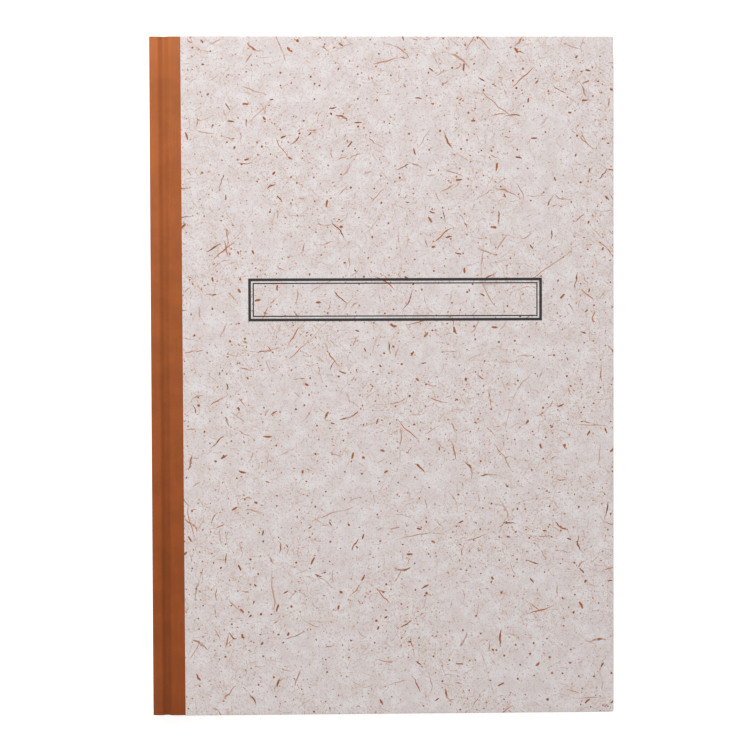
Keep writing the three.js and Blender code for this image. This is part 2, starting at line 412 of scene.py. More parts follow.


# Painted shade in the crease's hollow and a painted highlight beside its crest
def creaseShadeAndHighlight(tree, place, colour):
    x, y = parted(tree, place)[:2]
    awayX = minus(tree, x, crease["place"][0])
    awayY = minus(tree, y, crease["place"][1])
    cosine, sine = math.cos(crease["turn"]), math.sin(crease["turn"])
    along = maths(tree, "MULTIPLY_ADD", awayX, cosine, times(tree, awayY, sine))
    across = maths(tree, "MULTIPLY_ADD", awayX, -sine, times(tree, awayY, cosine))
    ends = maths(tree, "ABSOLUTE", along)
    near = between(tree, ends, crease["fullTo"], crease["length"], 1.0, 0.0)
    for part, way in (("hollow", 1.0), ("crest", -1.0)):
        away = maths(tree, "ABSOLUTE", plus(tree, across, way * crease["tintOff"]))
        beside = between(tree, away, 0.0, crease["tintReach"], crease[part + "Share"], 0.0)
        colour = mixed(tree, times(tree, beside, near), colour, linear(*crease[part]))
    return colour


coverPaper = {
    "shine": (0.5, 0.35),
    "bump": (0.02 * mm, 0.5),
    "patch": 7 * mm,
    "patchesAt": (0.36, 0.7),
    "grain": 0.55 * mm,
    "grainsAt": (0.5, 0.75),
    "grainShare": 0.4,
    # the marks lie closer and farther apart over this distance, by these shares
    "crowding": 28 * mm,
    "crowdsAt": (0.3, 0.7),
    "crowdShares": (0.55, 1.15),
    "toneFade": 0.3,
    "base": (221, 212, 211),
    "pale": (230, 226, 227),
    "haze": (194, 151, 122),
    "fibre": (177, 104, 40),
    "rust": (138, 70, 12),
    "rustSpread": 0.55,
    "ink": (28, 27, 29),
    "titleMiddle": (5.5 * mm, 33.6 * mm),
    "titleSize": (127 * mm, 17.5 * mm),
    "titleOuterLine": 1.21 * mm,
    "titleLine": 0.55 * mm,
    "titleInset": 1.6 * mm,
    "lineSoft": (0.42, 0.58),
    # two levels of the grain's noise, and the share of the title's ink that is left at each
    "inkWorn": (0.25, 0.4, 0.85, 1.0),
    # scale, line width, breaks, opacity
    "hairs": [(140.0, 0.022, 0.52, 0.3), (230.0, 0.026, 0.5, 0.34), (330.0, 0.03, 0.5, 0.32)],
    # colour, then cell, length and half width in mm, curl per metre, wobble in mm,
    # then taper, breaks, density and opacity
    "marks": [
        ("haze", (1.25, 0.35, 0.16, 0, 0.25, 0, 0, 0.65, 0.58)),
        ("haze", (1.9, 0.5, 0.22, 0, 0.35, 0, 0, 0.55, 0.65)),
        ("haze", (2.4, 1.5, 0.15, 500, 0.7, 0.5, 0.3, 0.75, 0.65)),
        ("haze", (3.4, 3.0, 0.16, 300, 0.9, 0.6, 0.6, 0.75, 0.75)),
        ("haze", (4.8, 5.0, 0.16, 200, 1.3, 0.6, 0.8, 0.75, 0.8)),
        ("haze", (7.5, 9.0, 0.18, 120, 2.0, 0.6, 0.8, 0.6, 0.9)),
        ("fibre", (4.3, 0.7, 0.3, 0, 0.4, 0.2, 0, 0.6, 1.2)),
        ("fibre", (11.5, 8.0, 0.26, 150, 2.2, 0.7, 0.7, 0.66, 1.15)),
        ("fibre", (22.0, 17.0, 0.3, 70, 4.5, 0.7, 0.75, 0.62, 1.15)),
        ("fibre", (36.0, 32.0, 0.3, 40, 7.0, 0.7, 0.8, 0.52, 1.15)),
        ("rust", (7.4, 0.7, 0.42, 0, 0.5, 0.2, 0, 0.48, 1.4)),
        ("rust", (11.0, 3.2, 0.42, 80, 0.8, 0.4, 0.2, 0.36, 1.5)),
        ("rust", (24.0, 10.0, 0.36, 110, 3.4, 0.7, 0.5, 0.55, 1.5)),
        ("rust", (30.0, 0.9, 0.68, 0, 0.9, 0.3, 0, 0.45, 1.4)),
    ],
}


# One on a line and nought off it, and soft between two shares of its width
def onLine(tree, off, width, soft):
    return between(tree, off, width * soft[0], width * soft[1], 1.0, 0.0)


# The outline of a rectangle
def ringMask(tree, place, middle, size, line, soft):
    beyond = []
    for along, centre, width in zip(parted(tree, place), middle, size):
        away = maths(tree, "ABSOLUTE", minus(tree, along, centre))
        beyond.append(minus(tree, away, width / 2))
    off = maths(tree, "ABSOLUTE", maths(tree, "MAXIMUM", *beyond))
    return onLine(tree, off, line, soft)


def paperGround(tree, look, uneven):
    patches = between(tree, uneven["Patches"], *look["patchesAt"])
    colour = mixed(tree, patches, linear(*look["base"]), linear(*look["pale"]))
    grains = between(tree, uneven["Grains"], *look["grainsAt"])
    share = times(tree, grains, look["grainShare"])
    return mixed(tree, share, colour, linear(*look["haze"]))


def withHairs(tree, look, place, crowd, colour):
    for number, (scale, width, breaks, opacity) in enumerate(look["hairs"]):
        seed = number * hairShape["seedStep"] + hairShape["firstSeed"]
        lines = placed(
            tree, hairLines, Vector=place, Scale=scale, Width=width, Breaks=breaks, Seed=seed,
        )
        share = times(tree, times(tree, lines["Mask"], opacity), crowd)
        colour = mixed(tree, share, colour, linear(*look["haze"]))
    return colour


def withMarks(tree, look, place, crowd, colour):
    for seed, (ink, sizes) in enumerate(look["marks"]):
        cell, length, width, curl, wobble, taper, breaks, density, opacity = sizes
        marks = placed(
            tree, fibreMarks, Vector=place, Cell=cell * mm, Length=length * mm, Width=width * mm,
            Curl=float(curl), Wobble=wobble * mm, Taper=float(taper), Breaks=float(breaks),
            Density=density, Seed=seed + 1.0,
        )
        strength = maths(tree, "MULTIPLY_ADD", marks["Tone"], -look["toneFade"] * opacity, opacity)
        share = times(tree, marks["Mask"], strength)
        shade = linear(*look[ink])
        if ink == "rust":
            # the strong marks stay strong everywhere, and the weaker of them are more orange
            paler = times(tree, marks["Tone"], look["rustSpread"])
            shade = mixed(tree, paler, shade, linear(*look["fibre"]))
            share = times(tree, share, 1.0, clamp=True)
        else:
            share = times(tree, share, crowd, clamp=True)
        colour = mixed(tree, share, colour, shade)
    return colour


# An empty frame of two lines in the title's place
def withTitleFrame(tree, look, place, uneven, colour):
    middle, size = look["titleMiddle"], look["titleSize"]
    inner = [width - 2 * look["titleInset"] for width in size]
    outerRing = ringMask(tree, place, middle, size, look["titleOuterLine"], look["lineSoft"])
    innerRing = ringMask(tree, place, middle, inner, look["titleLine"], look["lineSoft"])
    rings = maths(tree, "MAXIMUM", outerRing, innerRing)
    worn = between(tree, uneven["Grains"], *look["inkWorn"])
    return mixed(tree, times(tree, rings, worn), colour, linear(*look["ink"]))


def buildCoverPaper(titled):
    look = coverPaper
    material, tree, shader = newMaterial("fibrePaper" if titled else "fibrePaperPlain", look["shine"])
    place = added(tree, "ShaderNodeAttribute", {}, attribute_name="unrolled").outputs["Vector"]
    uneven = placed(tree, mottle, Vector=place, Patch=look["patch"], Grain=look["grain"])
    crowding = noise(tree, place, 1 / look["crowding"], detail=1.0)
    crowd = between(tree, crowding.outputs[0], *look["crowdsAt"], *look["crowdShares"])
    colour = paperGround(tree, look, uneven)
    colour = withHairs(tree, look, place, crowd, colour)
    colour = withMarks(tree, look, place, crowd, colour)
    if titled:
        colour = withTitleFrame(tree, look, place, uneven, colour)
        # painted shade and highlight along the crease
        colour = creaseShadeAndHighlight(tree, place, colour)
    painted(tree, shader, colour, uneven["Grains"], look["bump"])
    return material


brownStrip = {
    "shine": (0.55, 0.2),
    "bump": (0.03 * mm, 0.6),
    # the tail's colour and the head's, which painted light makes lighter
    "head": (176, 99, 51),
    "tail": (147, 73, 29),
    # the colour turns from the tail's to the head's between these shares of the half length, as painted
    # light that is brighter towards the head
    "headLightFrom": 0.9,
    "headLightTo": 1.35,
    # the tones are two levels of the noise, and the strip's tone at each
    "patch": 9 * mm,
    "patchTones": (0.35, 0.68, 0.94, 1.08),
    "grain": 0.45 * mm,
    "streak": 0.8 * mm,
    "streakStretch": (1.0, 0.05, 1.0),
    "streakTones": (0.35, 0.7, 0.97, 1.03),
    # painted shade: the groove darkens between the first two distances from the spine and lightens between
    # the others
    "groove": (3.6 * mm, 5.0 * mm, 6.9 * mm, 8.9 * mm),
    # the groove's painted shade at the tail and at the head
    "grooveTones": (0.775, 0.99),
    # the ridge beside the groove gets a painted highlight up to this tone, full towards the head
    "ridge": (3.2 * mm, 4.2 * mm),
    "ridgeTone": 1.1,
    "ridgeHighlightTo": 0.8,
}


def toned(tree, colour, tone):
    return mixed(tree, 1.0, colour, joined(tree, tone, tone, tone), blend="MULTIPLY")


def buildBrownStrip():
    look = brownStrip
    material, tree, shader = newMaterial("brownStrip", look["shine"])
    place = objectPlace(tree)
    x, y = parted(tree, place)[:2]
    # painted light: the strip grows lighter towards the head
    headLight = between(tree, y, cadLow.y * look["headLightFrom"], cadHigh.y * look["headLightTo"])
    colour = mixed(tree, headLight, linear(*look["tail"]), linear(*look["head"]))
    uneven = placed(tree, mottle, Vector=place, Patch=look["patch"], Grain=look["grain"])
    colour = toned(tree, colour, between(tree, uneven["Patches"], *look["patchTones"]))
    stretched = vectorMaths(tree, "MULTIPLY", place, look["streakStretch"])
    streaks = noise(tree, stretched, 1 / look["streak"])
    colour = toned(tree, colour, between(tree, streaks.outputs[0], *look["streakTones"]))
    # painted shade in the groove, weaker towards the head
    first, second, third, fourth = look["groove"]
    fromSpine = minus(tree, x, spineX)
    entered = between(tree, fromSpine, first, second)
    grooveShade = times(tree, entered, between(tree, fromSpine, third, fourth, 1.0, 0.0))
    tail, head = look["grooveTones"]
    darker = maths(tree, "MULTIPLY_ADD", headLight, head - tail, tail - 1)
    tone = maths(tree, "MULTIPLY_ADD", grooveShade, darker, 1.0)
    # the ridge beside the groove gets a painted highlight towards the head
    onRidge = between(tree, fromSpine, *look["ridge"], 1.0, 0.0)
    ridgeHighlight = times(tree, onRidge, between(tree, y, 0.0, cadHigh.y * look["ridgeHighlightTo"]))
    paler = maths(tree, "MULTIPLY_ADD", ridgeHighlight, look["ridgeTone"] - 1, 1.0)
    colour = toned(tree, colour, times(tree, tone, paler))
    painted(tree, shader, colour, uneven["Grains"], look["bump"])
    return material


leafPaper = {
    "shine": (0.85, 0.25),
    "bump": (0.01 * mm, 0.4),
    "sheet": (243, 241, 233),
    "rule": (150, 166, 190),
    "ruleShare": 0.75,
    "pitch": 5 * mm,
    "line": 0.16 * mm,
    "lineSoft": (0.3, 0.7),
    "margin": 6 * mm,
    "patch": 14 * mm,
    "patchTones": (0.3, 0.7, 0.985, 1.0),
    "grain": 0.35 * mm,
}


# A square ruling that stops short of the leaf's edges
def ruling(tree, look, place):
    x, y = parted(tree, place)[:2]
    half = look["pitch"] / 2
    masks = []
    for along in (x, y):
        beside = maths(tree, "PINGPONG", plus(tree, along, half), half)
        off = minus(tree, half, beside)
        masks.append(onLine(tree, off, look["line"], look["lineSoft"]))
    lines = maths(tree, "MAXIMUM", *masks)
    inX = maths(tree, "LESS_THAN", x, leafHigh.x - look["margin"])
    inY = maths(tree, "LESS_THAN", maths(tree, "ABSOLUTE", y), leafHigh.y - look["margin"])
    return times(tree, lines, times(tree, inX, inY))


def buildLeafPaper(ruled):
    look = leafPaper
    material, tree, shader = newMaterial("ruledPaper" if ruled else "endPaper", look["shine"])
    place = objectPlace(tree)
    uneven = placed(tree, mottle, Vector=place, Patch=look["patch"], Grain=look["grain"])
    tone = between(tree, uneven["Patches"], *look["patchTones"])
    colour = toned(tree, linear(*look["sheet"]), tone)
    if ruled:
        share = times(tree, ruling(tree, look, place), look["ruleShare"])
        colour = mixed(tree, share, colour, linear(*look["rule"]))
    painted(tree, shader, colour, uneven["Grains"], look["bump"])
    return material


boardLook = {
    "shine": (0.95, 0.2),
    "bump": (0.04 * mm, 0.6),
    "dark": (140, 132, 120),
    "light": (160, 152, 138),
    "fleck": (104, 98, 90),
    "fleckShare": 0.5,
    "flecks": {"Cell": 3 * mm, "Length": 1.2 * mm, "Width": 0.1 * mm, "Density": 0.5, "Seed": 4.0},
    "patch": 4 * mm,
    "patchesAt": (0.3, 0.7),
    "grain": 0.3 * mm,
}


def buildGreyBoard():
    look = boardLook
    material, tree, shader = newMaterial("greyBoard", look["shine"])
    place = objectPlace(tree)
    uneven = placed(tree, mottle, Vector=place, Patch=look["patch"], Grain=look["grain"])
    patches = between(tree, uneven["Patches"], *look["patchesAt"])
    colour = mixed(tree, patches, linear(*look["dark"]), linear(*look["light"]))
    flecks = placed(tree, fibreMarks, Vector=place, **look["flecks"])
    share = times(tree, flecks["Mask"], look["fleckShare"])
    colour = mixed(tree, share, colour, linear(*look["fleck"]))
    painted(tree, shader, colour, uneven["Grains"], look["bump"])
    return material


gauzeLook = {
    "shine": (0.95, 0.2),
    "bump": (0.08 * mm, 1.0),
    "between": (196, 188, 168),
    "yarn": (236, 231, 216),
    "yarnsAt": (-0.4, 0.3),
    "pitch": 0.9 * mm,
    "rise": 0.25,
}


# A plain weave: yarns one way and across, raised where they cross
def buildGauze():
    look = gauzeLook
    material, tree, shader = newMaterial("gauze", look["shine"])
    x, y, z = parted(tree, objectPlace(tree))
    weave = []
    for along in (plus(tree, x, z), y):
        weave.append(maths(tree, "SINE", times(tree, along, math.tau / look["pitch"])))
    height = times(tree, plus(tree, *weave), look["rise"])
    share = between(tree, height, *look["yarnsAt"])
    colour = mixed(tree, share, linear(*look["between"]), linear(*look["yarn"]))
    painted(tree, shader, colour, height, look["bump"])
    return material


threadLook = {
    "shine": (0.7, 0.3),
    "bump": (0.03 * mm, 1.0),
    # the grooves of the twist get painted shade
    "groove": (222, 216, 202),
    "strand": (246, 243, 235),
    "strandsAt": (-0.6, 0.6),
    "pitch": 0.6 * mm,
}


def buildThread():
    look = threadLook
    material, tree, shader = newMaterial("thread", look["shine"])
    x, y, z = parted(tree, objectPlace(tree))
    along = plus(tree, plus(tree, x, y), z)
    twist = maths(tree, "SINE", times(tree, along, math.tau / look["pitch"]))
    # painted shade in the grooves between the strands
    share = between(tree, twist, *look["strandsAt"])
    colour = mixed(tree, share, linear(*look["groove"]), linear(*look["strand"]))
    painted(tree, shader, colour, twist, look["bump"])
    return material


fibrePaper = buildCoverPaper(True)
fibrePaperPlain = buildCoverPaper(False)
brown = buildBrownStrip()
ruledPaper = buildLeafPaper(True)
endPaper = buildLeafPaper(False)
greyBoard = buildGreyBoard()
gauzeCloth = buildGauze()
threadTwist = buildThread()
print("materials built")

# The boards keep their shape from the frame
for name in ("front_board", "back_board", "spine_board"):
    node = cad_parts[name]
    node.data.materials.clear()
    node.data.materials.append(greyBoard)


# Cover paper: wrapped round three edges of the board and turned in

wrapping = {
    "thickness": 0.15 * mm,
    "cornerRadius": 0.9 * mm,
    "cornerSteps": 5,
    "edgeRadius": 0.45 * mm,
    "edgeSteps": 4,
    "turnIn": 15 * mm,
    "lapClearance": 0.02 * mm,
    "grid": 3.0 * mm,
    "skew": 0.55 * mm,
    # shares of the board's thickness at which its edge and the turn-in start
    "edgeStarts": 0.12,
    "turnInStarts": 0.9,
    # the back's paper is cut from this much further on in the pattern
    "patternShift": 0.5,
}

# Points closer than this count as one
touching = 0.001 * mm


# Cuts the faces within reach of the centre by planes across one axis
def cutAcross(bm, axis, places, centre=Vector(), reach=math.inf):
    for place in places:
        point = [0, 0, 0]
        normal = [0, 0, 0]
        point[axis] = place
        normal[axis] = 1
        faces = [face for face in bm.faces if (face.calc_center_median() - centre).length < reach]
        edges = {edge for face in faces for edge in face.edges}
        verts = {vert for face in faces for vert in face.verts}
        bmesh.ops.bisect_plane(
            bm, geom=[*verts, *edges, *faces], dist=touching / 10, plane_co=point, plane_no=normal,
        )


# How far the paper sinks on both flanks of the crease, whose crest keeps its height
def creaseSink(x, y):
    awayX, awayY = x - crease["place"][0], y - crease["place"][1]
    cosine, sine = math.cos(crease["turn"]), math.sin(crease["turn"])
    across = abs(awayY * cosine - awayX * sine) / crease["width"]
    along = (awayX * cosine + awayY * sine) / crease["length"]
    return crease["depth"] * across * math.exp((1 - across ** 2) / 2) * math.exp(-along ** 2)


# A block of the board's size with its corners and rims rounded, all but the end beside the spine
def roundedBlock(low, high):
    bm = bmesh.new()
    bmesh.ops.create_cube(bm, size=1)
    middle, size = (low + high) / 2, high - low
    for vert in bm.verts:
        vert.co = Vector(vert.co[axis] * size[axis] + middle[axis] for axis in range(3))
    corners, rims = [], []
    for edge in bm.edges:
        first, second = (vert.co for vert in edge.verts)
        if min(first.x, second.x) > middle.x and abs(first.y - second.y) < touching:
            corners.append(edge)
    rounding = {"profile": 0.5, "affect": "EDGES"}
    bmesh.ops.bevel(
        bm, geom=corners, offset=wrapping["cornerRadius"], segments=wrapping["cornerSteps"], **rounding,
    )
    for edge in bm.edges:
        first, second = (vert.co for vert in edge.verts)
        if abs(first.z - second.z) < touching / 10 and max(first.x, second.x) >= low.x + touching:
            rims.append(edge)
    bmesh.ops.bevel(
        bm, geom=rims, offset=wrapping["edgeRadius"], segments=wrapping["edgeSteps"], **rounding,
    )
    return bm


# Opens the block beside the spine and leaves only the turned-in edges on its inner face
def opened(bm, low, high, inner):
    size = high - low
    reach = wrapping["turnIn"]
    lap = flangeHigh.x + wrapping["lapClearance"]
    steps = (int(size.x / wrapping["grid"]), int(size.y / wrapping["grid"]))
    columns = [low.x + size.x * i / steps[0] for i in range(1, steps[0])]
    rows = [low.y + size.y * i / steps[1] for i in range(1, steps[1])]
    cutAcross(bm, 0, columns + [lap, high.x - reach])
    cutAcross(bm, 1, rows + [low.y + reach, high.y - reach])
    gone = []
    for face in bm.faces:
        at = face.calc_center_median()
        inside = abs(at.z - inner) < touching
        window = at.x < high.x - reach and low.y + reach < at.y < high.y - reach
        if at.x < low.x + touching or (inside and (window or at.x < lap)):
            gone.append(face)
    bmesh.ops.delete(bm, geom=gone, context="FACES")


def wrappedPaper(name, side):
    low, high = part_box(side + "_cover_paper")
    outer, inner = (high.z, low.z) if side == "front" else (low.z, high.z)
    thickness = abs(outer - inner)
    bm = roundedBlock(low, high)
    opened(bm, low, high, inner)
    if side == "front":
        centre = Vector((*crease["place"], outer))
        around = crease["reach"]
        for axis in (0, 1):
            count = int(2 * around / crease["grid"])
            places = [centre[axis] - around + crease["grid"] * i for i in range(count + 1)]
            cutAcross(bm, axis, places, centre, around)
    for vert in bm.verts:
        share = max(0, 1 - abs(vert.co.z - outer) / thickness)
        if vert.co.x < low.x + touching:
            vert.co.x += wrapping["skew"] * (high.y - vert.co.y) / (high.y - low.y)
        if side == "front":
            vert.co.z -= share * creaseSink(vert.co.x, vert.co.y)
    mesh = bpy.data.meshes.new(name)
    bm.to_mesh(mesh)
    bm.free()
    piece = newObject(name, mesh)
    wall = piece.modifiers.new("wall", "SOLIDIFY")
    wall.thickness = wrapping["thickness"]
    wall.offset = -1
    wall.use_even_offset = True
    settled(piece)
    unroll(piece, low, high, side)
    smoothed(piece)
    finished(piece, fibrePaper if side == "front" else fibrePaperPlain)
    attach(piece, side + "_cover")
    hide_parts(side + "_cover_paper")
    return piece


# Where each point of the wrapped paper lay while the sheet was still flat
def unroll(piece, low, high, side):
    attribute = piece.data.attributes.new("unrolled", "FLOAT_VECTOR", "POINT")
    outer = high.z if side == "front" else low.z
    shift = 0 if side == "front" else wrapping["patternShift"]
    thickness = high.z - low.z
    edgeStarts = thickness * wrapping["edgeStarts"]
    turnInStarts = thickness * wrapping["turnInStarts"]
    flat = []
    for vert in piece.data.vertices:
        depth = abs(vert.co.z - outer)
        x, y = vert.co.x, vert.co.y
        edges = {"fore": high.x - x, "head": high.y - y, "tail": y - low.y}
        nearest = min(edges, key=edges.get)
        onward = depth if depth < turnInStarts else thickness + edges[nearest]
        if depth > edgeStarts and edges[nearest] < wrapping["turnIn"] + mm:
            if nearest == "fore":
                x = high.x + onward
            elif nearest == "head":
                y = high.y + onward
            else:
                y = low.y - onward
        flat += [x, y, shift]
    attribute.data.foreach_set("vector", flat)


for side in ("front", "back"):
    wrappedPaper(side + "CoverPaper", side)
print("cover papers wrapped")


# Brown strip: from under each cover's paper over the groove and the ridge to the middle of the spine

# distances are from the spine's outer face, and depths from the nearer cover's outer face
strip = {
    "thickness": 0.2 * mm,
    "edgeRadius": 0.09 * mm,
    "turnIn": 15 * mm,
    # the strip and its turned-in edge, with a little air between them
    "doubled": 0.42 * mm,
    "grooveFloor": 1.35 * mm,
    "ridgeEnds": 3.5 * mm,
    "floorStarts": 5.9 * mm,
    "floorEnds": 6.3 * mm,
    "boardStarts": 8.9 * mm,
    "boardEdge": 8.4 * mm,
    "ridgeRadius": 0.8 * mm,
    # share of the steps over the ridge that lie on its flat top
    "ridgeFlat": 0.35,
    "bend": (6.0 * mm, 8.6 * mm),
    "step": 0.2 * mm,
    "flatSteps": 5,
    "ridgeSteps": 8,
    "spineSteps": 6,
    "stations": 24,
}


# Depth of the strip's outer face over the ridge, the groove and the board
def stripDepth(u):
    floor = strip["grooveFloor"]
    if u > strip["floorEnds"]:
        rise = eased((u - strip["floorEnds"]) / (strip["boardStarts"] - strip["floorEnds"]))
        return floor + (bookTop - flangeHigh.z - floor) * rise
    drop = eased((u - strip["ridgeEnds"]) / (strip["floorStarts"] - strip["ridgeEnds"]))
    ridge = bookTop - spineHigh.z
    return ridge + (floor - ridge) * drop


# Points of the strip's outer and inner face, from under the cover's paper to the middle of the spine
def stripProfile():
    ridge = bookTop - spineHigh.z
    inside = bookTop - flangeLow.z
    spineInner = spineHigh.x - spineX
    boardStarts, floorEnds = strip["boardStarts"], strip["floorEnds"]
    outer, inner = [], []
    steps = int((boardStarts - spineInner) / strip["step"])
    flat = evenly(flangeHigh.x - spineX, boardStarts, strip["flatSteps"])
    for u in flat + evenly(boardStarts, spineInner, steps) + [spineInner]:
        depth = stripDepth(u)
        outer.append((u, depth))
        underBoard = inside * eased((u - floorEnds) / (strip["boardEdge"] - floorEnds))
        inner.append((u, max(depth + strip["doubled"], underBoard)))
    radius, flatShare = strip["ridgeRadius"], strip["ridgeFlat"]
    lastU, lastDepth = inner[-1]
    for i in range(1, strip["ridgeSteps"] + 1):
        share = i / strip["ridgeSteps"]
        if share <= flatShare:
            outer.append((spineInner + (radius - spineInner) * share / flatShare, ridge))
        else:
            angle = math.pi / 2 * (share - flatShare) / (1 - flatShare)
            outer.append((radius - radius * math.sin(angle), ridge + radius - radius * math.cos(angle)))
        inner.append((lastU, lastDepth + (ridge + radius - lastDepth) * share))
    middle = bookTop / 2
    for depth in evenly(ridge + radius, middle, strip["spineSteps"])[1:] + [middle]:
        outer.append((0, depth))
        inner.append((spineInner, depth))
    return outer, inner


# One turn round the strip: along its outer face, over the head's end, and back round the tail's
def stripRing(gap):
    half, thickness, turned = flangeHigh.y, strip["thickness"], strip["turnIn"]
    soft = strip["edgeRadius"]
    corner = soft * 0.3
    stations = strip["stations"]
    face = [(-half + soft + 2 * (half - soft) * i / stations, 0) for i in range(stations + 1)]
    head = [
        (half - corner, corner),
        (half, soft),
        (half, gap - soft),
        (half - corner, gap - corner),
        (half - soft, gap),
        (half - turned, gap),
        (half - turned, gap - thickness),
        (half - thickness, gap - thickness),
        (half - thickness, thickness),
    ]
    return face + head + [(-y, into) for y, into in reversed(head)]


def brownStripHalf(name, side):
    outer, inner = stripProfile()
    verts = []
    for (outerU, outerDepth), (innerU, innerDepth) in zip(outer, inner):
        gap = math.hypot(innerU - outerU, innerDepth - outerDepth)
        wayU, wayDepth = (innerU - outerU) / gap, (innerDepth - outerDepth) / gap
        for y, into in stripRing(gap):
            depth = outerDepth + wayDepth * into
            z = bookTop - depth if side == "front" else depth
            verts.append((spineX + outerU + wayU * into, y, z))
    piece = meshFrom(name, verts, tubeFaces(len(outer), len(verts) // len(outer)))
    outwards(piece)
    smoothed(piece, 40)
    finished(piece, brown)
    bendOver(piece)
    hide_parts(side + "_strip_flange", side + "_joint_strip", "spine_strip")
    return piece


for side in ("front", "back"):
    brownStripHalf(side + "SpineStrip", side)
print("spine strip laid")


# Thin sheets that follow a line from the spine to the fore-edge

def sheetAlong(name, points, thickness, halfLength, side, material):
    verts = []
    half = thickness / 2
    last = len(points) - 1
    for i, (u, depth) in enumerate(points):
        before, after = points[max(i - 1, 0)], points[min(i + 1, last)]
        run = math.dist(before, after)
        wayU, wayDepth = -(after[1] - before[1]) / run, (after[0] - before[0]) / run
        corners = ((-halfLength, -half), (halfLength, -half), (halfLength, half), (-halfLength, half))
        for y, out in corners:
            shifted = depth + wayDepth * out
            z = bookTop - shifted if side == "front" else shifted
            verts.append((spineX + u + wayU * out, y, z))
    piece = meshFrom(name, verts, tubeFaces(len(points), 4))
    outwards(piece)
    smoothed(piece, 40)
    finished(piece, material)
    return piece


endpaper = {
    "pastedThickness": 0.12 * mm,
    "flyleafThickness": 0.096 * mm,
    "near": 12 * mm,
    "nearStations": 48,
    "farStations": 6,
    # from the fold's outside to the pastedown's edge, to the middle of the flyleaf's turn, and how
    # far that turn bulges
    "pastedFrom": 0.2 * mm,
    "turnFrom": 0.16 * mm,
    "turnBulge": 0.09 * mm,
    "turnSteps": 6,
}
foldU = leafLow.x - spineX
leafEdgeU = leafHigh.x - spineX
leafHalf = leafHigh.y


# Distances with most stations near the spine, where a sheet bends
def spread(start, end):
    near = start + endpaper["near"]
    close = evenly(start, near, endpaper["nearStations"])
    return close + evenly(near, end, endpaper["farStations"]) + [end]


def foldedEndpaper(side):
    boardDepth = bookTop - (pasteLow.z + pasteHigh.z) / 2
    flyDepth = bookTop - (flyLow.z + flyHigh.z) / 2
    pasted = sheetAlong(
        side + "Pastedown",
        [(u, boardDepth) for u in spread(foldU + endpaper["pastedFrom"], pasteHigh.x - spineX)],
        endpaper["pastedThickness"], pasteHigh.y, side, endPaper,
    )
    bendOver(pasted)
    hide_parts(side + "_pastedown")
    radius = (flyDepth - boardDepth) / 2
    middle = foldU + endpaper["turnFrom"]
    turn = []
    for angle in evenly(math.pi, 0, endpaper["turnSteps"]):
        u = middle - endpaper["turnBulge"] * math.sin(angle)
        turn.append((u, flyDepth - radius - radius * math.cos(angle)))
    flyleaf = sheetAlong(
        side + "Flyleaf",
        turn + [(u, flyDepth) for u in spread(middle, leafEdgeU)],
        endpaper["flyleafThickness"], leafHalf, side, endPaper,
    )
    if side == "front":
        bendOver(flyleaf)
    else:
        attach(flyleaf, "text_block")
    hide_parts(side + "_flyleaf", side + "_endpaper_fold")


for side in ("front", "back"):
    foldedEndpaper(side)
print("endpapers folded")


# Gauze over the sewn spine, glued to each board

gauze = {"thickness": 0.15 * mm, "cornerRadius": 0.35 * mm, "cornerSteps": 4, "spineSteps": 6}


def gauzeHalf(side):
    backU = (gauzeSpineLow.x + gauzeSpineHigh.x) / 2 - spineX
    depth = bookTop - (gauzeLow.z + gauzeHigh.z) / 2
    radius = gauze["cornerRadius"]
    line = [(backU, down) for down in evenly(bookTop / 2, depth + radius, gauze["spineSteps"])]
    for angle in evenly(0, math.pi / 2, gauze["cornerSteps"]):
        line.append((backU + radius - radius * math.cos(angle), depth + radius - radius * math.sin(angle)))
    line += [(u, depth) for u in spread(backU + radius, gauzeHigh.x - spineX)]
    piece = sheetAlong(
        side + "Gauze", line, gauze["thickness"], gauzeHigh.y, side, gauzeCloth,
    )
    bendOver(piece)
    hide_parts(side + "_gauze_flange", side + "_gauze_joint", "spine_gauze")


for side in ("front", "back"):
    gauzeHalf(side)
print("gauze laid")


# Sewn sections: folded sheets one inside the other

section = {
    "sheets": 8,
    "thickness": 0.064 * mm,
    "stations": 26,
    "arc": 6,
    "near": 12 * mm,
    "nearShare": 0.8,
    "jitter": 0.07 * mm,
}


# A tree of geometry nodes with named inputs, each of the kind Int, Float or Material
def newShapeTree(name, inputs):
    tree = bpy.data.node_groups.new(name, "GeometryNodeTree")
    face = tree.interface
    face.new_socket(name="Geometry", in_out="INPUT", socket_type="NodeSocketGeometry")
    for label, kind in inputs.items():
        face.new_socket(name=label, in_out="INPUT", socket_type="NodeSocket" + kind)
    face.new_socket(name="Geometry", in_out="OUTPUT", socket_type="NodeSocketGeometry")
    given = tree.nodes.new("NodeGroupInput").outputs
    out = tree.nodes.new("NodeGroupOutput").inputs
    return tree, given, out


# Gives a tree's geometry its material and sends it out
def dressed(tree, geometry, given, out):
    inputs = {"Geometry": geometry, "Material": given["Material"]}
    feed(tree, out[0], added(tree, "GeometryNodeSetMaterial", inputs).outputs[0])


# Sets a piece's shape by a tree and its inputs' values
def shaped(piece, tree, values):
    modifier = piece.modifiers.new("shape", "NODES")
    modifier.node_group = tree
    for socket in tree.interface.items_tree:
        if socket.in_out == "INPUT" and socket.name in values:
            modifier[socket.identifier] = values[socket.name]
    settled(piece)
    outwards(piece)


# How far along the leaf a station lies, with most of them near the fold, as a share of its width
def stationRun(tree, run, nearPart, nearShare):
    close = times(tree, run, divided(tree, nearPart, nearShare))
    farRun = minus(tree, 1.0, nearShare)
    slope = divided(tree, minus(tree, 1.0, nearPart), farRun)
    beyond = times(tree, minus(tree, 1.0, run), slope)
    return maths(tree, "MAXIMUM", close, minus(tree, 1.0, beyond))


